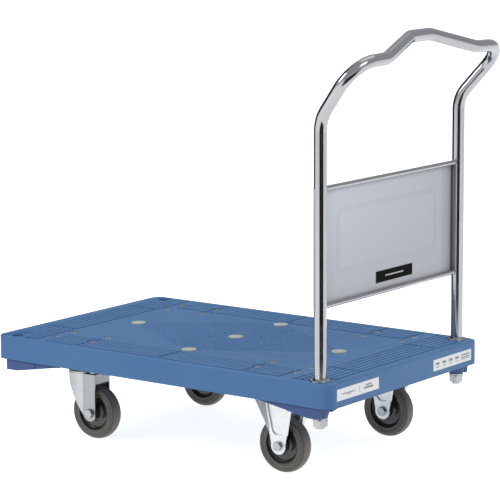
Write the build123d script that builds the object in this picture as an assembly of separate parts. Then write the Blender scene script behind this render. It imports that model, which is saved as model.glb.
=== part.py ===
"""Flatbed platform truck: moulded deck, bolted tube handle with a sheet panel,
two swivel casters at the front and two rigid casters under the handle end.

Frame: millimetres, +Z up, floor at Z = 0, +X towards the handle end, origin at the
centre of the whole truck's footprint. Left is -Y and right is +Y, as seen by a
person pushing from the handle end.
"""
import os
from math import acos, atan2, cos, degrees, hypot, radians, sin, sqrt, tan

from build123d import *

# ---- deck -------------------------------------------------------------------
deck_length = 935.0
deck_width = 595.0
deck_top_z = 233.0
rim_height = 55.5
rim_wall = 5.0
skin = 5.0
corner_radius = 25.0
top_edge_radius = 3.0
pad_height = 1.5            # height of the raised tread ridges
rib_wall = 4.0
rib_pitch = 85.0
rib_rise = 22.5             # rib bottoms above the rim's lower edge
seat_drop = 7.5             # caster seats below the rim's lower edge
bite = 1.0                  # how far joined parts of one casting reach into each other
recess_gap = 0.5            # round a head or flange let into the deck

# ---- raised ridges of the deck top ----------------------------------------------
ridge_count = 6
ridge_width = 11.5
ridge_gap = 3.5
end_ridge_inset = 22.0      # outermost end ridge from the deck's end
side_ridge_inset = 11.0     # outermost side ridge from the deck's side
break_width = 6.0
break_offset = 232.0        # breaks in the side ridges, each side of the middle
end_break_offset = 148.0
double_line_offset = 330.0  # inner boundary lines of the end fields
ridge_clearance = 2.5       # between a ridge's end and a post flange
bolt_clear_radius = 13.0

# ---- handle sockets and posts ---------------------------------------------------
post_x = 424.0              # sockets from the deck's middle, along and across
post_y = 270.0
tube_radius = 13.6
tube_wall = 1.8
socket_clearance = 0.4
socket_floor = 12.0
boss_radius = 25.0
boss_foot_radius = 15.5     # corner bosses taper to this at their lower ends
boss_drop = 24.5            # corner bosses below the rim's lower edge
fin_wall = 9.0
fin_inset = 4.0             # long fins behind the outer face of the side rims
fin_length = 168.0
fin_step = 1.5              # the long fins are thinner by this, further than
fin_step_at = 70.0          # this from the post
end_fin_wall = 7.0
end_fin_inset = 13.0
end_fin_length = 50.0
end_fin_drop = 9.0
flange_radius = 22.5
flange_height = 3.5
flange_seat = 1.0
flange_round = 1.5
collar_foot = 3.5
collar_lip = 0.8
collar_height = 3.0
tube_fit = 0.1              # flange round the tube, and stud plug inside it

# ---- handle shape, measured from the post axis and the deck top ------------------
lean_start = 551.0
grip_reach = 101.0
elbow_half_width = 296.0
elbow_height = 672.0
waist_half_width = 177.0
waist_height = 675.0
bar_reach = 69.0
bar_half_width = 38.0
bar_height = 710.0
bend_radii = (69.0, 60.0, 67.0, 49.0)

# ---- handle cross bars, panel and plates ------------------------------------------
rail_radius = 5.5
weld_gap = 0.02             # rail end coped to the post
lower_rail_height = 155.5
upper_rail_height = 405.0
sheet = 1.2
sheet_gap = 0.1
sheet_below_rail = 3.0
sheet_above_rail = 2.0
sheet_flat_margin = 60.0    # flat part of the panel ends this far inside the posts
sheet_wrap_end = 112.0      # degrees round the post at which the sheet ends
emboss_rise = 3.0           # raised field of the panel
emboss_slope = 11.0         # width of its sloping edge
emboss_half_width = 195.5
emboss_offset = -9.5        # field's middle from the panel's middle, towards the left post
emboss_top_gap = 48.0
emboss_bottom_gap = 60.5
emboss_corner = 23.5
plate_width = 143.0
plate_height = 25.0
plate_thickness = 0.8
plate_gap = 18.5            # name plate above the lower rail's axis
plate_offset = 19.0
label_width = 158.0
label_height = 25.5
label_thickness = 0.4
label_places = {"left": (-192.5, 28.0), "right": (183.5, 30.0)}  # across, and below the deck's top

# ---- handle fasteners ---------------------------------------------------------------
stud_radius = 10.0
stud_hole_clearance = 0.5
stud_plug_length = 32.0
stud_end = 6.0
stud_chamfer = 1.5
washer_fit = 0.3
nut_fit = 0.05
post_washer_radius = 16.5
post_washer_height = 3.0
post_nut_flats = 30.0
post_nut_height = 16.0

# ---- caps on the deck ----------------------------------------------------------------
cap_x = 286.0
cap_y = 174.5
cap_radius = 17.5
cap_height = 3.0
cap_stem_radius = 9.0
cap_stem_length = 9.0
cap_clearance = 0.1
cap_hole_spare = 3.0        # hole depth past the end of a cap's stem
cap_recess_gap = 1.8
cap_round = 0.6

# ---- casters ------------------------------------------------------------------------
caster_x = 285.0
caster_y = 203.0
caster_trail = 39.0
bolt_spacing_x = 104.0
bolt_spacing_y = 56.0
caster_plate_length = 126.0
caster_plate_width = 80.0
caster_plate_thickness = 3.5
seat_length = 142.0
seat_width = 100.0
seat_wall = 5.0
seat_boss_radius = 10.5
fork_half_width = 27.0      # outer face of a fork leg from the wheel's middle
fork_sheet = 3.0
fork_end_radius = 19.0

# ---- swivel head ------------------------------------------------------------------------
crown_radius = 34.0
crown_top_below_plate = 13.5
hood_front_z = 159.0        # the hood's slanted lower edge runs from the crown's front
hood_back_x = 19.0          # to this point ahead of the axle
hood_back_z = 56.0
fork_rear_x = 55.0
fork_rear_wall_z = 131.0
race_path_radius = 26.0
race_ball_radius = 4.0
race_ball_count = 18
race_clearance = 0.1
race_inner_radius = 19.0
race_outer_radius = 33.0
race_height = 5.0
kingpin_radius = 6.0
kingpin_head_radius = 11.0
kingpin_nut_flats = 19.0
kingpin_nut_height = 7.0
kingpin_gap = 0.2
seal_wall = 1.8
running_clearance = 0.05

# ---- rigid fork -------------------------------------------------------------------------
rigid_top_half = 38.0
wing_length = 24.0
wing_angle = 60.0
wing_foot_z = 88.0
channel_edge = 7.0
channel_depth = 3.0
channel_foot = 24.0         # channel's rounded foot above the axle
channel_top_gap = 6.0       # channel's top below the plate
channel_corner = 8.0
channel_draft = 0.8         # share of the sheet by which the channel's floor is wider

# ---- wheels -----------------------------------------------------------------------------
wheel_radius = 62.5
tyre_width = 32.0
rim_radius = 45.0
rim_half_width = 14.0
hub_radius = 17.0
hub_half_length = 19.5
web_half = 5.0
bearing_outer_radius = 14.0
bearing_width = 8.0
bearing_path_radius = 10.5
bearing_ball_radius = 2.0
bearing_ball_count = 9
bearing_clearance = 0.1
shield = 0.6
inner_ring_radius = 9.4
spacer_radius = 8.0
axle_radius = 6.0
axle_fit = 0.1
axle_head_flats = 19.0
axle_head_height = 7.0
axle_nut_height = 10.0
axle_end = 3.0

# ---- caster mounting bolts -----------------------------------------------------------------
mount_bolt_radius = 4.0
mount_hole_radius = 4.5
mount_head_radius = 8.2
mount_head_height = 2.6
mount_head_recess = 1.5
mount_washer_radius = 8.0
mount_washer_height = 1.6
mount_nut_flats = 13.0
mount_nut_height = 6.5
mount_bolt_end = 1.5

# ---- worked out from the sizes above -----------------------------------------------------------
handle_rear = post_x + grip_reach + tube_radius
deck_x = -(handle_rear - deck_length / 2) / 2          # deck's middle in the truck's frame
deck_z = deck_top_z - pad_height                       # plain surface between the ridges
rim_z = deck_top_z - rim_height
seat_z = rim_z - seat_drop
boss_z = rim_z - boss_drop
floor_z = boss_z + socket_floor
skin_z = deck_z - skin
plate_z = seat_z - caster_plate_thickness
crown_z = plate_z - crown_top_below_plate
leg_inner = fork_half_width - fork_sheet
axle_z = wheel_radius
half_length = deck_length / 2
half_width = deck_width / 2
ridge_pitch = ridge_width + ridge_gap
corners = [(sx, sy) for sx in (-1, 1) for sy in (-1, 1)]
sides = {"left": -1, "right": 1}


def block(x0, x1, y0, y1, z0, z1):
    """Box between two corners."""
    middle = Pos((x0 + x1) / 2, (y0 + y1) / 2, (z0 + z1) / 2)
    return middle * Box(abs(x1 - x0), abs(y1 - y0), abs(z1 - z0))


def post(radius, x, y, z0, z1):
    """Vertical cylinder."""
    return Pos(x, y, (z0 + z1) / 2) * Cylinder(radius, z1 - z0)


def pin(radius, x, z, y0, y1):
    """Cylinder along Y."""
    return Pos(x, (y0 + y1) / 2, z) * Rot(90, 0, 0) * Cylinder(radius, y1 - y0)


def hex_nut(flats, height, hole=0.0):
    """Hexagonal nut or head standing on the XY plane, corners lightly turned off."""
    body = extrude(RegularPolygon(flats / sqrt(3), 6), height)
    turned = Cylinder(flats / sqrt(3), height)
    body &= Pos(0, 0, height / 2) * chamfer(turned.edges().filter_by(GeomType.CIRCLE), 0.08 * flats)
    if hole:
        body -= post(hole, 0, 0, -1, height + 1)
    return body


def side_prism(points, y0, y1):
    """Outline in the XZ plane, extruded from y0 to y1."""
    face = make_face(Polyline(*[(x, y0, z) for x, z in points], close=True))
    return extrude(face, y1 - y0, dir=(0, 1, 0))


def revolve_y(points):
    """Closed outline of (radius, y) points turned about the Y axis."""
    face = make_face(Polyline(*[(r, y, 0) for r, y in points], close=True))
    return revolve(face, Axis.Y)


def bolt_points():
    return [(i * bolt_spacing_x / 2, j * bolt_spacing_y / 2) for i, j in corners]


def merge(pieces):
    """Fuse a list of overlapping solids into one."""
    return pieces[0].fuse(*pieces[1:])


# ---- deck ------------------------------------------------------------------------------------
def deck_ribs():
    z0, z1 = rim_z + rib_rise, skin_z + bite
    ribs = []
    for count, reach, along in ((int(half_length / rib_pitch), half_width, True),
                                (int(half_width / rib_pitch), half_length, False)):
        for k in range(-count, count + 1):
            c = k * rib_pitch
            half = rib_wall / 2
            end = reach - rim_wall / 2
            ribs.append(block(c - half, c + half, -end, end, z0, z1) if along
                        else block(-end, end, c - half, c + half, z0, z1))
    return ribs


def caster_seat(x, y):
    """Waffled pad under the deck that a caster plate bolts to."""
    z1 = skin_z + bite
    lx, ly, w = seat_length / 2, seat_width / 2, seat_wall
    parts = [block(x - lx, x + lx, y + s * ly - s * w, y + s * ly, seat_z, z1) for s in (-1, 1)]
    parts += [block(x + s * lx - s * w, x + s * lx, y - ly, y + ly, seat_z, z1) for s in (-1, 1)]
    parts += [block(x - w / 2, x + w / 2, y - ly, y + ly, seat_z, z1),
              block(x - lx, x + lx, y - w / 2, y + w / 2, seat_z, z1)]
    parts += [post(seat_boss_radius, x + bx, y + by, seat_z, z1) for bx, by in bolt_points()]
    return parts


def corner_boss(sx, sy):
    """Tapered socket boss with a long fin along the side rim and a short one along the end rim."""
    px, py = sx * post_x, sy * post_y
    z1 = rim_z + 2 * bite
    foot = boss_foot_radius
    cone = Pos(px, py, (rim_z + boss_z) / 2) * Cone(foot, boss_radius, rim_z - boss_z)
    outer, inner = sy * (half_width - fin_inset), sy * (half_width - fin_inset - fin_wall)
    fin = side_prism([(px + sx * foot, z1), (px + sx * foot, boss_z), (px - sx * foot, boss_z),
                      (px - sx * fin_length, z1)], min(outer, inner), max(outer, inner))
    fin -= block(px - sx * fin_step_at, px - sx * (fin_length + bite), outer + sy * bite,
                 outer - sy * fin_step, boss_z - bite, rim_z)
    x0 = sx * (half_length - end_fin_inset)
    outline = [(py, z1), (py, rim_z - end_fin_drop), (py - sy * end_fin_length, rim_z),
               (py - sy * end_fin_length, z1)]
    end_fin = extrude(make_face(Polyline(*[(x0, y, z) for y, z in outline], close=True)),
                      end_fin_wall, dir=(-sx, 0, 0))
    top = skin_z + bite
    x_rim, y_rim = sx * (half_length - rim_wall + bite), sy * (half_width - rim_wall + bite)
    third = boss_radius / 3
    webs = [block(px, x_rim, py - third, py + third, rim_z, top),
            block(px - third, px + third, py, y_rim, rim_z, top),
            block(px - sx * (fin_length + bite), px, y_rim, inner, rim_z, z1),
            block(x_rim, x0 - sx * end_fin_wall, py - sy * (end_fin_length + bite), py, rim_z, z1)]
    return [post(boss_radius, px, py, rim_z - bite / 2, top), cone, fin, end_fin] + webs


def ridges():
    """Raised tread bars: across both ends, and along both sides."""
    z0, z1 = deck_z - bite, deck_top_z
    bars = []
    clear = flange_radius + ridge_clearance
    for s in (-1, 1):
        for k in range(ridge_count):
            x = s * (half_length - end_ridge_inset - (k + 0.5) * ridge_pitch)
            stop = half_width - side_ridge_inset if abs(abs(x) - post_x) > clear else post_y - clear
            edge = end_break_offset
            spans = ((-stop, -edge), (-edge, edge), (edge, stop))
            for y0, y1 in spans:
                bars.append(block(x - ridge_width / 2, x + ridge_width / 2,
                                  y0 + break_width / 2, y1 - break_width / 2, z0, z1))
            y = s * (half_width - side_ridge_inset - (k + 0.5) * ridge_pitch)
            ends = (-double_line_offset, -break_offset, 0, break_offset, double_line_offset)
            for x0, x1 in zip(ends[:-1], ends[1:]):
                bars.append(block(x0 + break_width / 2, x1 - break_width / 2,
                                  y - ridge_width / 2, y + ridge_width / 2, z0, z1))
    return bars


def make_deck():
    outline = RectangleRounded(deck_length, deck_width, corner_radius)
    body = Pos(0, 0, rim_z) * extrude(outline, deck_z - rim_z)
    body = fillet(body.faces().sort_by(Axis.Z)[-1].edges(), top_edge_radius)
    inner = RectangleRounded(deck_length - 2 * rim_wall, deck_width - 2 * rim_wall,
                             corner_radius - rim_wall)
    body -= Pos(0, 0, rim_z - bite) * extrude(inner, skin_z - rim_z + bite)
    seats = [(sx * caster_x, sy * caster_y) for sx, sy in corners] + [(0, 0)]
    parts = [body] + deck_ribs() + ridges()
    for x, y in seats:
        parts += caster_seat(x, y)
    for sx, sy in corners:
        parts += corner_boss(sx, sy)
    deck = merge(parts)
    cuts = []
    above = deck_top_z + bite
    for x, y in seats:
        for bx, by in bolt_points():
            cuts.append(post(mount_hole_radius, x + bx, y + by, seat_z - bite, above))
            if (x, y) == (0, 0):
                continue
            recess_z = deck_z - mount_head_recess
            cuts.append(post(mount_head_radius + recess_gap, x + bx, y + by, recess_z, above))
            cuts.append(post(bolt_clear_radius, x + bx, y + by, deck_z, above))
    for sx, sy in corners:
        px, py = sx * post_x, sy * post_y
        cuts += [post(tube_radius + socket_clearance, px, py, floor_z, above),
                 post(flange_radius + recess_gap, px, py, deck_z - flange_seat, above),
                 post(stud_radius + stud_hole_clearance, px, py, boss_z - bite, floor_z + bite)]
    cap_z = deck_z - cap_height / 2
    for x, y in cap_points():
        hole_z = cap_z - cap_stem_length - cap_hole_spare
        cuts += [post(cap_stem_radius + cap_clearance, x, y, hole_z, above),
                 post(cap_radius + cap_recess_gap, x, y, cap_z, above)]
    deck = deck.cut(*cuts)
    return Pos(deck_x, 0, 0) * deck


def cap_points():
    return [(0, 0), (cap_x, 0), (-cap_x, 0), (0, cap_y), (0, -cap_y)]


def make_caps():
    caps = []
    for x, y in cap_points():
        z0 = deck_z - cap_height / 2
        head = fillet(post(cap_radius, x, y, z0, z0 + cap_height).edges().sort_by(Axis.Z)[-1:], cap_round)
        caps.append(head + post(cap_stem_radius, x, y, z0 - cap_stem_length, z0))
    return Pos(deck_x, 0, 0) * Compound(caps)


# ---- handle -----------------------------------------------------------------------------------
def handle_points():
    """Corner points of the handle's centreline, from the left socket to the right one."""
    x, z = deck_x + post_x, deck_top_z
    half = [(x, post_y, floor_z), (x, post_y, z + lean_start),
            (x + grip_reach, elbow_half_width, z + elbow_height),
            (x + grip_reach, waist_half_width, z + waist_height),
            (x + bar_reach, bar_half_width, z + bar_height)]
    return [(px, -py, pz) for px, py, pz in half] + half[::-1]


def handle_path():
    """Straight runs joined by tangent arcs."""
    pts = [Vector(*p) for p in handle_points()]
    radii = list(bend_radii) + list(bend_radii)[::-1]
    edges, start = [], pts[0]
    for before, corner, after, radius in zip(pts[:-2], pts[1:-1], pts[2:], radii):
        into, out = (corner - before).normalized(), (after - corner).normalized()
        turn = radians(into.get_angle(out))
        reach = radius * tan(turn / 2)
        first, last = corner - into * reach, corner + out * reach
        edges += [Edge.make_line(start, first), Edge.make_tangent_arc(first, into, last)]
        start = last
    edges.append(Edge.make_line(start, pts[-1]))
    return Wire(edges)


def make_tube():
    path = handle_path()
    start = Plane(path @ 0, z_dir=path % 0)
    outer = sweep(start * Circle(tube_radius), path)
    inner = sweep(start * Circle(tube_radius - tube_wall), path)
    tube = outer - inner
    ratio = tube.volume / (path.length * (Circle(tube_radius).area - Circle(tube_radius - tube_wall).area))
    print("handle tube: length %.1f, volume ratio %.4f" % (path.length, ratio))
    return tube


def make_rail(height):
    x, z = deck_x + post_x, deck_top_z + height
    rail = pin(rail_radius, x, z, -post_y, post_y)
    for s in (-1, 1):
        rail -= post(tube_radius + weld_gap, x, s * post_y, z - 2 * rail_radius, z + 2 * rail_radius)
    return rail


def make_panel():
    """Sheet in front of the rails, bent forward at each end to wrap the front of a post."""
    front = rail_radius + sheet_gap + sheet / 2
    wrap = tube_radius + sheet_gap + sheet / 2
    dx, dy = -front, -sheet_flat_margin
    meet = degrees(atan2(dy, dx)) - degrees(acos(wrap / hypot(dx, dy)))
    stop = sheet_wrap_end - 360

    def arc(angle):
        return (wrap * cos(radians(angle)), post_y + wrap * sin(radians(angle)))

    path = [Line((-front, 0), (-front, post_y - sheet_flat_margin)),
            Line((-front, post_y - sheet_flat_margin), arc(meet)),
            ThreePointArc(arc(meet), arc((meet + stop) / 2), arc(stop))]
    half = trace(path, sheet)
    z0 = deck_top_z + lower_rail_height - sheet_below_rail
    z1 = deck_top_z + upper_rail_height + sheet_above_rail
    body = extrude(half, z1 - z0)
    body = body + mirror(body, Plane.XZ)
    body = Pos(deck_x + post_x, 0, z0) * body
    x = deck_x + post_x - front
    low = deck_top_z + lower_rail_height + emboss_bottom_gap
    high = deck_top_z + upper_rail_height - emboss_top_gap

    def field(x_face, grow):
        plane = Plane((x_face, emboss_offset, (low + high) / 2), x_dir=(0, 1, 0), z_dir=(1, 0, 0))
        return plane * RectangleRounded(2 * (emboss_half_width + grow), high - low + 2 * grow,
                                        emboss_corner + grow)

    def frustum(x_face, rise, grow):
        slope = emboss_slope * rise / emboss_rise
        return loft([field(x_face, grow), field(x_face + rise, grow - slope)])

    raised = frustum(x, emboss_rise + sheet / 2, emboss_slope * sheet / 2 / emboss_rise)
    hollow = frustum(x - sheet, emboss_rise + sheet / 2, emboss_slope * sheet / 2 / emboss_rise - sheet / 4)
    return body + raised - hollow


def make_name_plate():
    x = deck_x + post_x - rail_radius - sheet_gap
    z = deck_top_z + lower_rail_height + plate_gap
    return block(x, x + plate_thickness, plate_offset - plate_width / 2, plate_offset + plate_width / 2,
                 z, z + plate_height)


def make_label(side):
    x = deck_x + half_length
    y, drop = label_places[side]
    z = deck_top_z - drop
    return block(x, x + label_thickness, y - label_width / 2, y + label_width / 2,
                 z - label_height / 2, z + label_height / 2)


def at_posts(shape):
    """Copy of a shape on the axis of each handle post."""
    return Compound([Pos(deck_x + post_x, s * post_y, 0) * shape for s in sides.values()])


def make_flanges():
    z0 = deck_z - flange_seat
    ring = post(flange_radius, 0, 0, z0, z0 + flange_height)
    ring = fillet(ring.edges().sort_by(Axis.Z)[-1:], flange_round)
    collar_z = z0 + flange_height + collar_height / 2
    collar = Pos(0, 0, collar_z) * Cone(tube_radius + collar_foot, tube_radius + collar_lip, collar_height)
    hole = post(tube_radius + tube_fit, 0, 0, z0 - bite, z0 + flange_height + collar_height + bite)
    return at_posts(ring + collar - hole)


def make_studs():
    end = boss_z - post_washer_height - post_nut_height - stud_end
    stud = post(tube_radius - tube_wall - nut_fit, 0, 0, floor_z + bite / 2, floor_z + stud_plug_length)
    stud += post(stud_radius, 0, 0, end, floor_z + bite)
    return at_posts(chamfer(stud.edges().sort_by(Axis.Z)[0:1], stud_chamfer))


def make_post_washers():
    ring = post(post_washer_radius, 0, 0, boss_z - post_washer_height, boss_z)
    hole = post(stud_radius + washer_fit, 0, 0, boss_z - post_washer_height - bite, boss_z + bite)
    return at_posts(ring - hole)


def make_post_nuts():
    nut = hex_nut(post_nut_flats, post_nut_height, stud_radius + nut_fit)
    return at_posts(Pos(0, 0, boss_z - post_washer_height - post_nut_height) * nut)


# ---- wheels: built about their own middle, axle along Y ----------------------------------------------
def tyre():
    w, r0, r1 = tyre_width / 2, rim_radius, wheel_radius
    shoulder = (r1 - 4.0, w - 2.0)
    outline = Polyline((shoulder[0], shoulder[1], 0), (r1 - 9.0, w, 0), (r0 + 6.0, w, 0),
                       (r0 + 1.5, rim_half_width, 0), (r0, rim_half_width, 0), (r0, -rim_half_width, 0),
                       (r0 + 1.5, -rim_half_width, 0), (r0 + 6.0, -w, 0), (r1 - 9.0, -w, 0),
                       (shoulder[0], -shoulder[1], 0))
    crown = ThreePointArc((shoulder[0], -shoulder[1], 0), (r1, 0, 0), (shoulder[0], shoulder[1], 0))
    body = revolve(make_face([outline, crown]), Axis.Y)
    for s in (-1, 1):       # shallow moulded step ring on each side wall
        ring = pin(r0 + 8.2, 0, 0, s * w - 0.8, s * w + 0.8) - pin(r0 + 7.0, 0, 0, s * w - 1, s * w + 1)
        body -= ring
    return body


def hub():
    r, w = rim_radius, rim_half_width
    h, d = hub_half_length, hub_half_length - bearing_width
    b, wall = bearing_outer_radius, 3.5
    bore = inner_ring_radius + 0.6
    half = [(r, w), (r - wall, w), (r - wall - 2.5, web_half + 4), (r - wall - 7, web_half),
            (hub_radius + 5, web_half), (hub_radius, web_half + 3), (hub_radius, h), (b, h), (b, d),
            (bore, d)]
    return revolve_y(half + [(x, -y) for x, y in half[::-1]])


def at_bearings(shape):
    """A bearing part centred on the origin, copied into both bearing seats."""
    offset = hub_half_length - bearing_width / 2
    return [Pos(0, s * offset, 0) * shape for s in (-1, 1)]


def race_torus(path, radius):
    return Rot(90, 0, 0) * Torus(path, radius)


def bearing_rings():
    """Outer ring with both shields, turning with the wheel."""
    h = bearing_width / 2
    bore = bearing_path_radius + 1.1
    slim = inner_ring_radius + running_clearance
    outer = bearing_outer_radius
    half = [(outer, h), (slim, h), (slim, h - shield), (bore, h - shield)]
    ring = revolve_y(half + [(x, -y) for x, y in half[::-1]])
    ring -= race_torus(bearing_path_radius, bearing_ball_radius + bearing_clearance)
    return Compound(at_bearings(ring))


def bearing_balls():
    step = 360 / bearing_ball_count
    row = [Rot(0, k * step, 0) * Pos(bearing_path_radius, 0, 0) * Sphere(bearing_ball_radius)
           for k in range(bearing_ball_count)]
    return Compound([ball for one in row for ball in at_bearings(one)])


def axle_sleeve():
    """Spacer tube and both bearing inner rings, clamped between the fork legs."""
    h, d = hub_half_length, hub_half_length - bearing_width
    bore = axle_radius + running_clearance
    half = [(bore, leg_inner), (spacer_radius, leg_inner), (spacer_radius, h), (inner_ring_radius, h),
            (inner_ring_radius, d), (spacer_radius, d)]
    sleeve = revolve_y(half + [(x, -y) for x, y in half[::-1]])
    for groove in at_bearings(race_torus(bearing_path_radius, bearing_ball_radius + bearing_clearance)):
        sleeve -= groove
    return sleeve


def axle_bolt():
    w = fork_half_width
    end = w + axle_nut_height + axle_end
    head = Pos(0, -w, 0) * Rot(90, 0, 0) * hex_nut(axle_head_flats, axle_head_height)
    shank = pin(axle_radius, 0, 0, -w - 1, end)
    return head + chamfer(shank.edges().sort_by(Axis.Y)[-1:], 1.0)


def axle_nut():
    return Pos(0, fork_half_width, 0) * Rot(-90, 0, 0) * hex_nut(axle_head_flats, axle_nut_height,
                                                                 axle_radius + running_clearance)


# ---- casters: built about their bolt pattern's middle, at their true height ----------------------------
def caster_plate():
    plate = Pos(0, 0, plate_z) * extrude(RectangleRounded(caster_plate_length, caster_plate_width, 10),
                                         caster_plate_thickness)
    return plate.cut(*[post(mount_hole_radius, bx, by, plate_z - 1, seat_z + 1) for bx, by in bolt_points()])


def rigid_leg(side):
    """Pressed leg: recessed channel, rounded foot at the axle, wings bent outward at both edges."""
    w, t = fork_half_width, fork_sheet
    foot, top = fork_end_radius, rigid_top_half
    reach = plate_z - axle_z
    lean = atan2(top - foot, reach)
    tx, tz = foot * cos(lean), foot * sin(lean)
    cheek = [(top, plate_z + bite), (tx, axle_z + tz), (-tx, axle_z + tz), (-top, plate_z + bite)]

    def half_at(z):
        return foot + (top - foot) * (z - axle_z) / reach

    slot_foot, slot_top = axle_z + channel_foot, plate_z - channel_top_gap
    width, edge = half_at(slot_foot) - channel_edge, top - channel_edge
    half = [(edge, slot_top), (width, slot_foot + channel_corner), (width - channel_corner, slot_foot)]
    slot = half + [(-x, z) for x, z in half[::-1]]
    grow = channel_draft * t
    wider = [(x + grow, z + grow if z == slot_top else z - grow) for x, z in half]
    grown = wider + [(-x, z) for x, z in wider[::-1]]
    outer = side_prism(cheek, w - t, w) + pin(foot, 0, axle_z, w - t, w)
    leg = outer - side_prism(slot, w - t - bite, w + bite)
    leg += side_prism(grown, w - t - channel_depth, w) - side_prism(slot, w - channel_depth, w + bite)
    leg -= pin(axle_radius + axle_fit, 0, axle_z, w - 2 * t, w + t)
    for s in (-1, 1):
        fold_top = Vector(s * top, w - t / 2, plate_z + bite)
        fold_foot = Vector(s * half_at(wing_foot_z), w - t / 2, wing_foot_z)
        out = Vector(s * cos(radians(wing_angle)), sin(radians(wing_angle)), 0)
        shift = Vector(-s * bite, 0, 0)
        wing = Polyline(fold_top + shift, fold_top + out * wing_length, fold_foot + shift, close=True)
        face = make_face(wing)
        leg += extrude(face, t / 2, both=True)
    leg &= block(-caster_plate_length, caster_plate_length, 0, caster_plate_width, 0, plate_z + bite / 2)
    return leg if side > 0 else mirror(leg, Plane.XZ)


def rigid_fork():
    return caster_plate() + rigid_leg(1) + rigid_leg(-1)


def swivel_plate():
    """Top plate with its race ring and the kingpin's hole."""
    z0 = plate_z - race_height
    ring = post(race_outer_radius, 0, 0, z0, plate_z + 1) - post(race_inner_radius, 0, 0, z0 - 1, plate_z)
    plate = caster_plate() + ring
    plate -= Pos(0, 0, race_ball_z()) * Torus(race_path_radius, race_ball_radius + race_clearance)
    plate -= post(kingpin_radius + 0.02, 0, 0, z0 - 1, seat_z + 1)
    recess = (kingpin_head_radius - kingpin_radius) / 2
    plate -= Pos(0, 0, seat_z - recess / 2 + 0.01) * Cone(kingpin_radius + 0.02, kingpin_head_radius,
                                                          recess + 0.02)
    return plate


def race_ball_z():
    return (plate_z + crown_z) / 2


def race_balls():
    step = 360 / race_ball_count
    return Compound([Rot(0, 0, k * step) * Pos(race_path_radius, 0, race_ball_z()) * Sphere(race_ball_radius)
                     for k in range(race_ball_count)])


def swivel_seal():
    z1 = plate_z
    z0 = crown_z + 4.0
    inner = race_outer_radius + 0.05
    return post(inner + seal_wall, 0, 0, z0, z1) - post(inner, 0, 0, z0 - 1, z1 + 1)


def kingpin():
    foot = crown_z - fork_sheet - kingpin_gap - kingpin_nut_height - 1.5
    recess = (kingpin_head_radius - kingpin_radius) / 2
    head = Pos(0, 0, seat_z - recess / 2) * Cone(kingpin_radius, kingpin_head_radius - 0.05, recess)
    return post(kingpin_radius, 0, 0, foot, seat_z) + head


def kingpin_nut():
    top = crown_z - fork_sheet - kingpin_gap
    nut = hex_nut(kingpin_nut_flats, kingpin_nut_height, kingpin_radius + running_clearance)
    return Pos(0, 0, top - kingpin_nut_height) * nut


def hood_plan(inset):
    """Plan of the hood: a round nose about the kingpin, with flat cheeks running back."""
    r, w = crown_radius - inset, fork_half_width - inset
    return Circle(r) + Pos((fork_rear_x - inset) / 2, 0) * Rectangle(fork_rear_x - inset, 2 * w)


def swivel_fork():
    """Deep-drawn fork: round hood under the race, cheeks running back to the axle."""
    t = fork_sheet
    foot = fork_end_radius
    ax, az = caster_trail, axle_z
    low = axle_z - foot - 5
    shell = Pos(0, 0, low) * extrude(hood_plan(0), crown_z - low)
    shell -= Pos(0, 0, low - 1) * extrude(hood_plan(t), crown_z - t - low + 1)
    slope = atan2(hood_front_z - hood_back_z, crown_radius + hood_back_x)
    toe = (ax - foot * sin(slope), az - foot * cos(slope))
    nose = (-crown_radius - 5, toe[1] + (toe[0] + crown_radius + 5) * tan(slope))
    side = side_prism([(nose[0], crown_z + 1), nose, toe, (fork_rear_x + 5, az - foot * cos(slope)),
                       (fork_rear_x + 5, crown_z + 1)], -60, 60)
    keep = side - side_prism([(ax, low - 2), (fork_rear_x + 6, low - 2), (fork_rear_x + 6, az), (ax, az)],
                             -61, 61)
    keep = keep - side_prism([toe, (toe[0], low - 2), (ax + 0.1, low - 2), (ax + 0.1, toe[1])], -61, 61)
    keep = keep + pin(foot, ax, az, -60, 60)
    fork = shell & keep
    fork -= block(ax, fork_rear_x + 5, t - fork_half_width, fork_half_width - t, 0, fork_rear_wall_z)
    ring = post(race_outer_radius - 0.5, 0, 0, crown_z - 1, crown_z + race_height - 1)
    ring -= post(race_inner_radius, 0, 0, crown_z, crown_z + race_height)
    fork = fork + ring
    fork -= Pos(0, 0, race_ball_z()) * Torus(race_path_radius, race_ball_radius + race_clearance)
    fork -= post(kingpin_radius + running_clearance, 0, 0, crown_z - 10, crown_z + 10)
    fork -= pin(axle_radius + axle_fit, ax, az, -60, 60)
    return fork


def mount_bolts():
    """All caster mounting bolts, heads up in the deck's recesses."""
    top = deck_z - mount_head_recess
    end = plate_z - mount_washer_height - mount_nut_height - mount_bolt_end
    head = post(mount_head_radius, 0, 0, top, top + mount_head_height)
    head = fillet(head.edges().sort_by(Axis.Z)[-1:], 1.6)
    head -= extrude(Pos(0, 0, top + mount_head_height - 1.4) * RegularPolygon(2.9, 6), 2)
    return at_mount_bolts(head + post(mount_bolt_radius, 0, 0, end, top + 0.5))


def mount_washers():
    z0 = plate_z - mount_washer_height
    return at_mount_bolts(post(mount_washer_radius, 0, 0, z0, plate_z)
                          - post(mount_bolt_radius + 0.2, 0, 0, z0 - 1, plate_z + 1))


def mount_nuts():
    z0 = plate_z - mount_washer_height - mount_nut_height
    return at_mount_bolts(Pos(0, 0, z0) * hex_nut(mount_nut_flats, mount_nut_height,
                                                  mount_bolt_radius + running_clearance))


def at_mount_bolts(shape):
    return Compound([Pos(deck_x + sx * caster_x + bx, sy * caster_y + by, 0) * shape
                     for sx, sy in corners for bx, by in bolt_points()])


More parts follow.
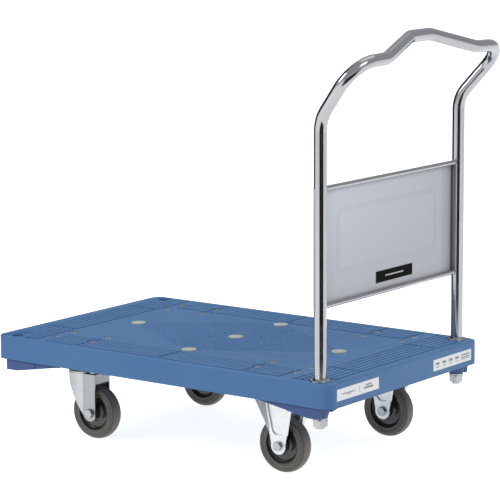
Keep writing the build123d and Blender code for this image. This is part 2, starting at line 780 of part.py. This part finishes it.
# ---- write every piece ---------------------------------------------------------------------------------
def chassis_nodes():
    nodes = {
        "deck": make_deck(),
        "deck_plug_caps": make_caps(),
        "handle_tube": make_tube(),
        "handle_lower_rail": make_rail(lower_rail_height),
        "handle_upper_rail": make_rail(upper_rail_height),
        "handle_panel": make_panel(),
        "panel_name_plate": make_name_plate(),
        "post_flanges": make_flanges(),
        "post_studs": make_studs(),
        "post_washers": make_post_washers(),
        "post_nuts": make_post_nuts(),
        "caster_mount_bolts": mount_bolts(),
        "caster_mount_washers": mount_washers(),
        "caster_mount_nuts": mount_nuts(),
    }
    for side in sides:
        nodes["end_label_" + side] = make_label(side)
    return nodes


def wheel_nodes(prefix, place):
    return {
        prefix + "_tyre": place * tyre(),
        prefix + "_hub": place * hub(),
        prefix + "_bearing_rings": place * bearing_rings(),
        prefix + "_bearing_balls": place * bearing_balls(),
        prefix + "_axle_sleeve": place * axle_sleeve(),
        prefix + "_axle_bolt": place * axle_bolt(),
        prefix + "_axle_nut": place * axle_nut(),
    }


def caster_nodes():
    nodes = {}
    for name, side in sides.items():
        front = Pos(deck_x - caster_x, side * caster_y, 0)
        rear = Pos(deck_x + caster_x, side * caster_y, 0)
        nodes.update(wheel_nodes("front_" + name, front * Pos(caster_trail, 0, axle_z)))
        nodes.update(wheel_nodes("rear_" + name, rear * Pos(0, 0, axle_z)))
        nodes["rear_" + name + "_rigid_fork"] = rear * rigid_fork()
        nodes["front_" + name + "_swivel_plate"] = front * swivel_plate()
        nodes["front_" + name + "_swivel_fork"] = front * swivel_fork()
        nodes["front_" + name + "_race_balls"] = front * race_balls()
        nodes["front_" + name + "_swivel_seal"] = front * swivel_seal()
        nodes["front_" + name + "_kingpin"] = front * kingpin()
        nodes["front_" + name + "_kingpin_nut"] = front * kingpin_nut()
    return nodes


def main():
    os.makedirs("parts", exist_ok=True)
    nodes = chassis_nodes()
    nodes.update(caster_nodes())
    for name, shape in nodes.items():
        export_step(shape, "parts/%s.step" % name)
    print(len(nodes), "nodes written")


main()
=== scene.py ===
import math
import random

import bmesh
import bpy
from mathutils import Matrix, Vector


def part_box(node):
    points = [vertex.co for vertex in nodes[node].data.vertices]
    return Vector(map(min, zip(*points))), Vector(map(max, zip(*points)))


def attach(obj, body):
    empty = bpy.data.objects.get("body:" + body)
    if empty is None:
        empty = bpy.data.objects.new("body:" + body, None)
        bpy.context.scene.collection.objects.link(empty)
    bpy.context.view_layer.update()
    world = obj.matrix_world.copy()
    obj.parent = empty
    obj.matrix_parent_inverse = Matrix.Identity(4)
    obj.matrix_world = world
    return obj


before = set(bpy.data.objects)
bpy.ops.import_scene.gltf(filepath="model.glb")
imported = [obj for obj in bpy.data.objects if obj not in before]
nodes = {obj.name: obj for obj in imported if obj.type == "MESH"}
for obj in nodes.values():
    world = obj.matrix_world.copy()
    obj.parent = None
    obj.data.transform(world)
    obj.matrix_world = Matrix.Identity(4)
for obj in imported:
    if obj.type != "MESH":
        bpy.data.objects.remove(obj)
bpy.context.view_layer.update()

# Looks for the flatbed platform truck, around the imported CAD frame. Metres, Z up,
# +X towards the handle end, floor at Z = 0. Colours are linear.

scene = bpy.context.scene
SIDES = ("left", "right")
WHEELS = [end + "_" + side for end in ("front", "rear") for side in SIDES]

DECK_LOW, DECK_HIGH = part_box("deck")
DECK_TOP = DECK_HIGH.z
RIDGE_RISE = 0.0015                     # tread ridges above the plain field
FIELD_TOP = DECK_TOP - RIDGE_RISE
RIM_EDGE = 0.1775                       # lower edge of the deck's rim


def middle(name):
    low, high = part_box(name)
    return (low + high) / 2


# ---- camera ----------------------------------------------------------------------------
CAMERA_PLACE = Vector((3.3402, -4.4948, 1.3732))
CAMERA_YAW, CAMERA_PITCH, CAMERA_ROLL = 36.57, 9.5, -0.26     # degrees
LENS, SENSOR = 180.5, 36.0                                    # millimetres


def make_camera():
    yaw, pitch, roll = (math.radians(a) for a in (CAMERA_YAW, CAMERA_PITCH, CAMERA_ROLL))
    ahead = Vector((-math.sin(yaw) * math.cos(pitch), math.cos(yaw) * math.cos(pitch), -math.sin(pitch)))
    right = ahead.cross(Vector((0, 0, 1))).normalized()
    up = right.cross(ahead)
    turned = right * math.cos(roll) + up * math.sin(roll)
    up = up * math.cos(roll) - right * math.sin(roll)
    data = bpy.data.cameras.new("camera")
    data.lens, data.sensor_width = LENS, SENSOR
    data.clip_start, data.clip_end = 0.1, 200
    camera = bpy.data.objects.new("camera", data)
    facing = Matrix((turned, up, -ahead)).transposed().to_4x4()
    camera.matrix_world = Matrix.Translation(CAMERA_PLACE) @ facing
    scene.collection.objects.link(camera)
    scene.camera = camera


# ---- material graphs -------------------------------------------------------------------
class Graph:
    """Small helper that builds one material's nodes around a Principled shader."""

    def __init__(self, name, **sockets):
        self.material = bpy.data.materials.new(name)
        self.material.use_nodes = True
        self.tree = self.material.node_tree
        self.tree.nodes.clear()
        self.shader = self.add("ShaderNodeBsdfPrincipled")
        out = self.add("ShaderNodeOutputMaterial")
        self.tree.links.new(self.shader.outputs[0], out.inputs[0])
        self.place = self.add("ShaderNodeTexCoord").outputs["Object"]
        for key, value in sockets.items():
            self.shader.inputs[key.replace("_", " ")].default_value = value

    def add(self, kind, **settings):
        node = self.tree.nodes.new(kind)
        for key, value in settings.items():
            setattr(node, key, value)
        return node

    def feed(self, socket, value):
        if hasattr(value, "is_output"):
            self.tree.links.new(value, socket)
        else:
            socket.default_value = value

    def set(self, name, value):
        self.feed(self.shader.inputs[name], value)

    def math(self, kind, a, b=0.0):
        node = self.add("ShaderNodeMath", operation=kind)
        self.feed(node.inputs[0], a)
        self.feed(node.inputs[1], b)
        return node.outputs[0]

    def axis(self, index):
        split = self.add("ShaderNodeSeparateXYZ")
        self.feed(split.inputs[0], self.place)
        return split.outputs[index]

    def noise(self, scale, detail=3.0, roughness=0.5):
        node = self.add("ShaderNodeTexNoise")
        self.feed(node.inputs["Vector"], self.place)
        node.inputs["Scale"].default_value = scale
        node.inputs["Detail"].default_value = detail
        node.inputs["Roughness"].default_value = roughness
        return node.outputs[0]

    def spread(self, value, low, high, to_low=0.0, to_high=1.0):
        node = self.add("ShaderNodeMapRange")
        for socket, item in zip(node.inputs, (value, low, high, to_low, to_high)):
            self.feed(socket, item)
        return node.outputs[0]

    def between(self, value, low, high, edge):
        """1 between low and high, falling to 0 over edge outside them."""
        rise = self.spread(value, low - edge, low)
        fall = self.spread(value, high, high + edge, 1.0, 0.0)
        return self.math("MULTIPLY", rise, fall)

    def from_axle(self, centre):
        """Distance from the line along Y through a point."""
        flat = (1, 0, 1)
        move = self.add("ShaderNodeMapping")
        self.feed(move.inputs["Vector"], self.place)
        move.inputs["Scale"].default_value = flat
        move.inputs["Location"].default_value = [-c * keep for c, keep in zip(centre, flat)]
        length = self.add("ShaderNodeVectorMath", operation="LENGTH")
        self.feed(length.inputs[0], move.outputs[0])
        return length.outputs["Value"]

    def waves(self, value, pitch):
        return self.math("SINE", self.math("MULTIPLY", value, 2 * math.pi / pitch))

    def mix(self, share, first, second):
        node = self.add("ShaderNodeMix", data_type="RGBA")
        self.feed(node.inputs[0], share)
        for socket, item in zip(node.inputs[6:8], (first, second)):
            self.feed(socket, item if hasattr(item, "is_output") else (*item, 1))
        return node.outputs[2]

    def bump(self, height, depth, strength=1.0, under=None):
        node = self.add("ShaderNodeBump")
        node.inputs["Strength"].default_value = strength
        node.inputs["Distance"].default_value = depth
        self.feed(node.inputs["Height"], height)
        if under is not None:
            self.feed(node.inputs["Normal"], under)
        return node.outputs[0]

    def give(self, *names):
        """Put the material on nodes of the frame, by name, or on objects."""
        for name in names:
            obj = nodes[name] if isinstance(name, str) else name
            obj.data.materials.clear()
            obj.data.materials.append(self.material)


# ---- studio ----------------------------------------------------------------------------
WORLD_TINT, WORLD_STRENGTH = (0.93, 0.96, 1.0, 1), 0.62
LAMPS = (("key", (-2.6, -3.4, 3.0), (0, 0, 0.3), 2.6, 76),       # name, place, target, size, power
         ("fill", (4.4, -0.8, 3.9), (0.2, 0, 0.4), 2.4, 54),
         ("top", (0.4, 1.2, 4.2), (0, 0, 0.2), 3.0, 24))
FLOOR_REACH = 60
# Dark flags that only reflections see, as in a studio's dark side: name, first and last angle
# from the camera's side, distance, lower and upper edge.
FLAGS = (("flag_front", -20, 42, 1.3, 0.0, 0.8),
         ("flag_back", 205, 262, 2.2, 0.0, 3.0),
         ("flag_behind", 150, 205, 2.6, 0.0, 0.7))
FLAG_CENTRE_X = 0.35


def plate(name, points):
    mesh = bpy.data.meshes.new(name)
    mesh.from_pydata(points, [], [tuple(range(len(points)))])
    obj = bpy.data.objects.new(name, mesh)
    scene.collection.objects.link(obj)
    return obj


def area_light(name, place, target, size, power):
    data = bpy.data.lights.new(name, "AREA")
    data.shape, data.size, data.energy = "SQUARE", size, power
    lamp = bpy.data.objects.new(name, data)
    lamp.location = place
    lamp.rotation_mode = "QUATERNION"
    lamp.rotation_quaternion = (Vector(target) - Vector(place)).to_track_quat("-Z", "Y")
    scene.collection.objects.link(lamp)


def make_floor():
    ground = Graph("studio_floor", Roughness=0.9, Emission_Color=(1, 1, 1, 1), Emission_Strength=0.8)
    ground.set("Base Color", ground.mix(ground.noise(3.0, 2.0), (0.90, 0.90, 0.90), (0.93, 0.93, 0.93)))
    corners = ((-1, -1), (1, -1), (1, 1), (-1, 1))
    floor = plate("studio_floor", [(FLOOR_REACH * x, FLOOR_REACH * y, 0) for x, y in corners])
    ground.give(floor)
    floor.visible_diffuse = False       # the world below lights the underside evenly instead


def make_flags():
    dark = Graph("studio_flag", Roughness=0.9)
    dark.set("Base Color", dark.mix(dark.noise(2.0), (0.012, 0.012, 0.012), (0.02, 0.02, 0.02)))
    for name, start, stop, reach, low, high in FLAGS:
        points = []
        for angle, z in ((start, low), (stop, low), (stop, high), (start, high)):
            a = math.radians(CAMERA_YAW + angle)
            points.append((FLAG_CENTRE_X + reach * math.sin(a), -reach * math.cos(a), z))
        flag = plate(name, points)
        dark.give(flag)
        for kind in ("camera", "diffuse", "shadow", "transmission"):
            setattr(flag, "visible_" + kind, False)


def make_studio():
    world = bpy.data.worlds.new("studio")
    world.use_nodes = True
    background = world.node_tree.nodes["Background"]
    background.inputs[0].default_value = WORLD_TINT
    background.inputs[1].default_value = WORLD_STRENGTH
    scene.world = world
    scene.view_settings.view_transform = "Standard"
    scene.view_settings.look = "None"
    for lamp in LAMPS:
        area_light(*lamp)
    make_floor()
    make_flags()


# ---- materials of the deck -------------------------------------------------------------
def deck_plastic():
    g = Graph("deck_plastic", Metallic=0.0, Specular_IOR_Level=0.35)
    broad = g.spread(g.noise(5.0, 3.0), 0.3, 0.7)
    colour = g.mix(broad, (0.060, 0.176, 0.385), (0.073, 0.198, 0.415))
    speck = g.spread(g.noise(420.0, 2.0), 0.35, 0.75, 0.0, 0.35)
    colour = g.mix(speck, colour, (0.058, 0.150, 0.330))
    height = g.axis(2)
    # Painted shade: darker at the moulding's stepped edges and under the rim, where light hardly reaches.
    for low, high, share in ((0.0002, 0.0005, 0.32), (0.0010, 0.0012, 0.78)):
        step_shade = g.between(height, FIELD_TOP + low, FIELD_TOP + high, 0.0001)
        colour = g.mix(g.math("MULTIPLY", step_shade, share), colour, (0.022, 0.058, 0.170))
    under_rim_shade = g.spread(height, RIM_EDGE - 0.0003, RIM_EDGE, 0.60, 0.0)
    colour = g.mix(under_rim_shade, colour, (0.042, 0.050, 0.215))
    # Painted shadow line just under the rim's lower edge.
    rim_shadow_line = g.between(height, RIM_EDGE - 0.0032, RIM_EDGE - 0.0006, 0.0010)
    colour = g.mix(g.math("MULTIPLY", rim_shadow_line, 0.7), colour, (0.020, 0.022, 0.100))
    # Scuffed, slightly dusty tops of the tread ridges.
    worn = g.math("MULTIPLY", g.spread(height, DECK_TOP - 0.0006, DECK_TOP - 0.0002),
                  g.spread(g.noise(38.0, 5.0, 0.65), 0.45, 0.75, 0.0, 0.40))
    g.set("Base Color", g.mix(worn, colour, (0.135, 0.262, 0.470)))
    g.set("Roughness", g.spread(g.noise(30.0, 4.0), 0.3, 0.7, 0.42, 0.56))
    grain = g.bump(g.noise(1500.0, 2.0), 0.00015, 0.35)
    g.set("Normal", g.bump(g.noise(14.0, 2.0), 0.0008, 0.12, grain))
    return g


def cap_plastic():
    g = Graph("cap_plastic", Specular_IOR_Level=0.4)
    cloud = g.spread(g.noise(55.0, 4.0), 0.35, 0.7)
    g.set("Base Color", g.mix(cloud, (0.52, 0.55, 0.48), (0.42, 0.45, 0.40)))
    g.set("Roughness", g.spread(g.noise(80.0), 0.3, 0.7, 0.38, 0.5))
    g.set("Normal", g.bump(g.noise(900.0, 2.0), 0.0001, 0.3))
    return g


# ---- materials of the handle -----------------------------------------------------------
def chromed_tube():
    g = Graph("chromed_tube", Metallic=1.0)
    tint = (0.357, 0.361, 0.370)
    g.set("Base Color", g.mix(g.spread(g.noise(9.0, 4.0), 0.35, 0.7), tint, tuple(0.95 * c for c in tint)))
    g.set("Roughness", g.spread(g.noise(22.0, 5.0, 0.6), 0.4, 0.75, 0.13, 0.20))
    g.set("Normal", g.bump(g.noise(350.0, 2.0), 0.00003, 0.12))
    return g


def panel_paint():
    g = Graph("panel_paint", Metallic=0.0, Specular_IOR_Level=0.2, Coat_Weight=0.06, Coat_Roughness=0.12)
    low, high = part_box("handle_panel")
    # Painted light: paler towards the upper left, as if lit from there.
    painted_light = g.math("MULTIPLY", g.spread(g.axis(1), low.y, high.y, 1.0, 0.1),
                  g.spread(g.axis(2), low.z, high.z, 0.1, 1.0))
    paint = g.mix(g.spread(g.noise(4.0, 3.0), 0.3, 0.7), (0.530, 0.536, 0.565), (0.552, 0.557, 0.586))
    g.set("Base Color", g.mix(painted_light, paint, (0.76, 0.775, 0.84)))
    g.set("Roughness", g.spread(g.noise(40.0), 0.3, 0.7, 0.34, 0.44))
    g.set("Normal", g.bump(g.noise(420.0, 2.0), 0.00006, 0.25))
    return g


# ---- plates and labels -----------------------------------------------------------------
# Plain bars stand in for the print. Each is (y, z, half width, half height), as shares of the
# half size of what it is on.
NAME_BARS = ((0.0, 0.0, 0.50, 0.11),)
LEFT_BARS = ((0.06, 0.0, 0.006, 0.55), (-0.46, 0.02, 0.30, 0.09), (-0.42, -0.26, 0.10, 0.05),
             (0.50, 0.34, 0.13, 0.13), (0.50, -0.12, 0.22, 0.17))
RIGHT_BARS = (tuple((y, z, wide, tall) for y in (-0.79, -0.44, -0.10, 0.24)
                    for z, wide, tall in ((0.18, 0.10, 0.22), (-0.42, 0.09, 0.06)))
              + ((0.68, 0.34, 0.22, 0.12), (0.68, -0.10, 0.24, 0.10), (0.68, -0.42, 0.22, 0.06)))


def printed(g, node, bars, edge):
    """1 on the bars of a node's face and 0 beside them."""
    low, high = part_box(node)
    centre, half = (low + high) / 2, (high - low) / 2
    y, z = g.axis(1), g.axis(2)
    ink = None
    for across, up, wide, tall in bars:
        cy, cz = centre.y + across * half.y, centre.z + up * half.z
        bar = g.math("MULTIPLY", g.between(y, cy - wide * half.y, cy + wide * half.y, edge),
                     g.between(z, cz - tall * half.z, cz + tall * half.z, edge))
        ink = bar if ink is None else g.math("MAXIMUM", ink, bar)
    return ink


def name_plate():
    g = Graph("plate_black", Specular_IOR_Level=0.02)
    bar = printed(g, "panel_name_plate", NAME_BARS, 0.0004)
    black = g.mix(g.noise(90.0), (0.004, 0.003, 0.003), (0.007, 0.006, 0.006))
    g.set("Base Color", g.mix(bar, black, (0.55, 0.55, 0.54)))
    g.set("Roughness", g.spread(g.noise(200.0), 0.3, 0.7, 0.42, 0.52))
    g.give("panel_name_plate")


def end_label(side, bars):
    g = Graph("label_white_" + side, Specular_IOR_Level=0.45)
    ink = printed(g, "end_label_" + side, bars, 0.0003)
    white = g.mix(g.noise(30.0), (0.92, 0.92, 0.91), (0.96, 0.96, 0.95))
    g.set("Base Color", g.mix(g.math("MULTIPLY", ink, 0.85), white, (0.16, 0.16, 0.17)))
    g.set("Roughness", g.spread(g.noise(120.0), 0.3, 0.7, 0.34, 0.46))
    g.set("Normal", g.bump(g.noise(260.0, 2.0), 0.00004, 0.2))
    g.give("end_label_" + side)


# ---- metals of the casters and fasteners -----------------------------------------------
HOOD_REACH = 0.0207                     # from a kingpin's axis to the fold between hood and cheek


def zinc(name, shade, warm=0.35, rough=(0.24, 0.38), crease=None):
    """Bright zinc plating. shade scales how light a copy is painted, standing in for how light falls on its
    part; crease is where a fork's hood ends, in X, and places the painted hood light and fold shade.
    """
    def tone(*colour):
        return tuple(shade * c for c in colour)
    g = Graph(name, Metallic=1.0)
    cloud = g.math("MULTIPLY", g.spread(g.noise(26.0, 4.0, 0.6), 0.38, 0.68), warm)
    colour = g.mix(cloud, tone(0.56, 0.585, 0.60), tone(0.60, 0.585, 0.53))
    spots = g.spread(g.noise(160.0, 3.0), 0.5, 0.85, 0.0, 0.35)
    colour = g.mix(spots, colour, tone(0.44, 0.46, 0.47))
    if crease is not None:
        # Painted light and shade: the hood is painted brighter up to the fold where the flat cheek begins,
        # and a dark painted shade line runs along the fold.
        x = g.axis(0)
        hood = g.math("MULTIPLY", g.spread(x, crease - 0.045, crease),
                      g.spread(x, crease, crease + 0.0008, 1.0, 0.0))
        colour = g.mix(g.math("MULTIPLY", hood, 0.8), colour, tone(0.92, 0.94, 0.96))
        # Painted shade along the fold.
        line = g.between(x, crease + 0.0002, crease + 0.0010, 0.0005)
        colour = g.mix(g.math("MULTIPLY", line, 0.5), colour, tone(0.20, 0.21, 0.21))
    g.set("Base Color", colour)
    g.set("Roughness", g.spread(g.noise(70.0, 4.0), 0.3, 0.7, *rough))
    g.set("Normal", g.bump(g.noise(600.0, 2.0), 0.00005, 0.3))
    return g


def zinc_thread():
    """Zinc with the fine ribs of an upright screw thread."""
    g = Graph("zinc_thread_upright", Metallic=1.0)
    base, pitch = (0.66, 0.66, 0.64), 0.0025
    g.set("Base Color", g.mix(g.noise(150.0), base, tuple(0.8 * c for c in base)))
    g.set("Roughness", g.spread(g.noise(90.0), 0.3, 0.7, 0.28, 0.42))
    g.set("Normal", g.bump(g.waves(g.axis(2), pitch), 0.0004, 0.8))
    return g


def bearing_steel():
    g = Graph("bearing_steel", Metallic=1.0)
    g.set("Base Color", g.mix(g.noise(120.0), (0.58, 0.58, 0.59), (0.50, 0.50, 0.52)))
    g.set("Roughness", g.spread(g.noise(200.0), 0.3, 0.7, 0.16, 0.26))
    return g


# ---- materials of the wheels -----------------------------------------------------------
def seal_rubber():
    g = Graph("seal_rubber", Specular_IOR_Level=0.4)
    g.set("Base Color", g.mix(g.noise(90.0), (0.014, 0.014, 0.014), (0.026, 0.025, 0.024)))
    g.set("Roughness", g.spread(g.noise(150.0), 0.3, 0.7, 0.45, 0.6))
    g.set("Normal", g.bump(g.noise(800.0, 2.0), 0.0001, 0.3))
    return g


def tyre_rubber(wheel, centre):
    g = Graph("tyre_rubber_" + wheel, Specular_IOR_Level=0.45)
    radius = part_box(wheel + "_tyre")[1].z - centre.z
    r = g.from_axle(centre)
    rubber = g.mix(g.spread(g.noise(60.0, 5.0, 0.6), 0.3, 0.7), (0.050, 0.043, 0.036), (0.074, 0.064, 0.054))
    # Painted reflection: the sidewall is painted lighter than the tread, standing in for the light its bevel
    # reflects.
    wall_highlight = g.math("MULTIPLY", g.spread(r, radius - 0.0070, radius - 0.0045, 1.0, 0.0),
                  g.spread(g.noise(75.0, 4.0), 0.3, 0.7, 0.75, 1.0))
    rubber = g.mix(wall_highlight, rubber, (0.132, 0.119, 0.103))
    dusty = g.math("MULTIPLY", g.spread(r, radius - 0.0040, radius - 0.0020),
                   g.spread(g.noise(130.0, 4.0), 0.4, 0.7, 0.75, 1.0))
    g.set("Base Color", g.mix(dusty, rubber, (0.185, 0.170, 0.150)))
    g.set("Roughness", g.spread(g.noise(180.0, 3.0), 0.3, 0.7, 0.42, 0.58))
    lines = g.bump(g.waves(r, 0.0011), 0.00005, 0.35)
    g.set("Normal", g.bump(g.noise(700.0, 3.0), 0.00018, 0.35, lines))
    g.give(wheel + "_tyre")


def hub_plastic(wheel, centre):
    g = Graph("hub_plastic_" + wheel, Specular_IOR_Level=0.5, Coat_Weight=0.3, Coat_Roughness=0.08)
    cloud = g.spread(g.noise(70.0, 3.0), 0.3, 0.7)
    g.set("Base Color", g.mix(cloud, (0.020, 0.017, 0.015), (0.030, 0.026, 0.023)))
    g.set("Roughness", g.spread(g.noise(110.0, 3.0), 0.3, 0.7, 0.20, 0.32))
    g.set("Normal", g.bump(g.waves(g.from_axle(centre), 0.0016), 0.00002, 0.08))
    g.give(wheel + "_hub")


# ---- what each node wears --------------------------------------------------------------
def front(part):
    return ["front_%s_%s" % (side, part) for side in SIDES]


def every_wheel(*parts):
    return [wheel + "_" + part for wheel in WHEELS for part in parts]


def dress_deck():
    plastic = deck_plastic()
    plastic.give("deck")
    cap_plastic().give("deck_plug_caps")
    end_label("left", LEFT_BARS)
    end_label("right", RIGHT_BARS)
    return plastic


def dress_handle():
    chromed_tube().give("handle_tube", "handle_lower_rail", "handle_upper_rail", "post_flanges")
    panel_paint().give("handle_panel")
    name_plate()


def dress_casters():
    # Lit and shaded copies of one zinc: the second argument paints each part lighter or darker in place of
    # how light falls on it.
    zinc("zinc_rigid", 1.12, rough=(0.36, 0.50)).give(*["rear_%s_rigid_fork" % side for side in SIDES])
    hood_back = middle("front_left_kingpin").x + HOOD_REACH
    zinc("zinc_swivel", 0.53, crease=hood_back).give(*front("swivel_fork"), *front("swivel_plate"))
    zinc("zinc_bolt_heads", 0.62, warm=0.0).give("caster_mount_bolts")
    zinc("zinc_fasteners", 0.62, warm=0.5, rough=(0.20, 0.32)).give(
        "post_washers", "post_nuts", "caster_mount_washers", "caster_mount_nuts",
        *every_wheel("axle_bolt", "axle_nut"), *front("kingpin_nut"))
    zinc_thread().give("post_studs", *front("kingpin"))
    bearing_steel().give(*every_wheel("bearing_rings", "bearing_balls", "axle_sleeve"), *front("race_balls"))
    seal_rubber().give(*front("swivel_seal"))
    for wheel in WHEELS:
        centre = middle(wheel + "_tyre")
        tyre_rubber(wheel, centre)
        hub_plastic(wheel, centre)


# ---- anti-slip field -------------------------------------------------------------------
FIELD_REACH_X, FIELD_REACH_Y = 0.300, 0.186       # half diagonals of the rhombus
FIELD_PITCH = 0.0082
LOZENGE_LENGTH, LOZENGE_WIDTH = 0.0040, 0.0016    # half sizes
LOZENGE_RISE, LOZENGE_SINK = 0.0008, 0.0002       # above and below the plain field
LOZENGE_LEAN, LOZENGE_SWING = 28, 14              # degrees from X, and how far each strays
PLACE_SWING = 0.16                                # how far each strays, as a share of the pitch
LOZENGE_FOOT = ((1, 0), (0.35, 1), (-0.35, 1), (-1, 0), (-0.35, -1), (0.35, -1))
LOZENGE_CROWN = ((0.62, 0), (0.28, 0.45), (-0.28, 0.45), (-0.62, 0), (-0.28, -0.45), (0.28, -0.45))
CAP_X, CAP_Y, CAP_CLEAR = 0.286, 0.1745, 0.0235
CAP_PLACES = ((0, 0), (CAP_X, 0), (-CAP_X, 0), (0, CAP_Y), (0, -CAP_Y))
HOLE_X, HOLE_Y, HOLE_CLEAR = 0.052, 0.028, 0.0105
HOLE_PLACES = [(sx * HOLE_X, sy * HOLE_Y) for sx in (-1, 1) for sy in (-1, 1)]


def kept_clear(x, y):
    """Whether a place is outside the rhombus, or too near a cap or a hole."""
    return (abs(x) / FIELD_REACH_X + abs(y) / FIELD_REACH_Y > 1
            or any(math.hypot(x - a, y - b) < CAP_CLEAR for a, b in CAP_PLACES)
            or any(math.hypot(x - a, y - b) < HOLE_CLEAR for a, b in HOLE_PLACES))


def add_lozenge(mesh, centre, angle):
    along = Vector((math.cos(angle), math.sin(angle), 0))
    across = Vector((-along.y, along.x, 0))

    def ring(outline, height):
        return [mesh.verts.new(centre + along * LOZENGE_LENGTH * a + across * LOZENGE_WIDTH * b
                               + Vector((0, 0, height))) for a, b in outline]
    foot, crown = ring(LOZENGE_FOOT, -LOZENGE_SINK), ring(LOZENGE_CROWN, LOZENGE_RISE)
    mesh.faces.new(crown)
    mesh.faces.new(foot[::-1])
    for k in range(len(foot)):
        n = (k + 1) % len(foot)
        mesh.faces.new((foot[k], foot[n], crown[n], crown[k]))


def antislip_field(plastic):
    """Raised lozenges in alternate directions over the rhombus between the four outer caps."""
    centre_x = (DECK_LOW.x + DECK_HIGH.x) / 2
    columns, rows = int(FIELD_REACH_X / FIELD_PITCH) + 1, int(FIELD_REACH_Y / FIELD_PITCH) + 1
    random.seed(11)
    mesh = bmesh.new()
    for i in range(-columns, columns + 1):
        for j in range(-rows, rows + 1):
            x = (i + random.uniform(-PLACE_SWING, PLACE_SWING)) * FIELD_PITCH
            y = (j + random.uniform(-PLACE_SWING, PLACE_SWING)) * FIELD_PITCH
            if kept_clear(x, y):
                continue
            lean = LOZENGE_LEAN if (i + j) % 2 else -LOZENGE_LEAN
            angle = math.radians(lean + random.uniform(-LOZENGE_SWING, LOZENGE_SWING))
            add_lozenge(mesh, Vector((centre_x + x, y, FIELD_TOP)), angle)
    mesh.normal_update()
    data = bpy.data.meshes.new("antislip_field")
    mesh.to_mesh(data)
    mesh.free()
    field = bpy.data.objects.new("antislip_field", data)
    scene.collection.objects.link(field)
    plastic.give(field)
    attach(field, "chassis")


make_camera()
make_studio()
plastic = dress_deck()
dress_handle()
dress_casters()
antislip_field(plastic)
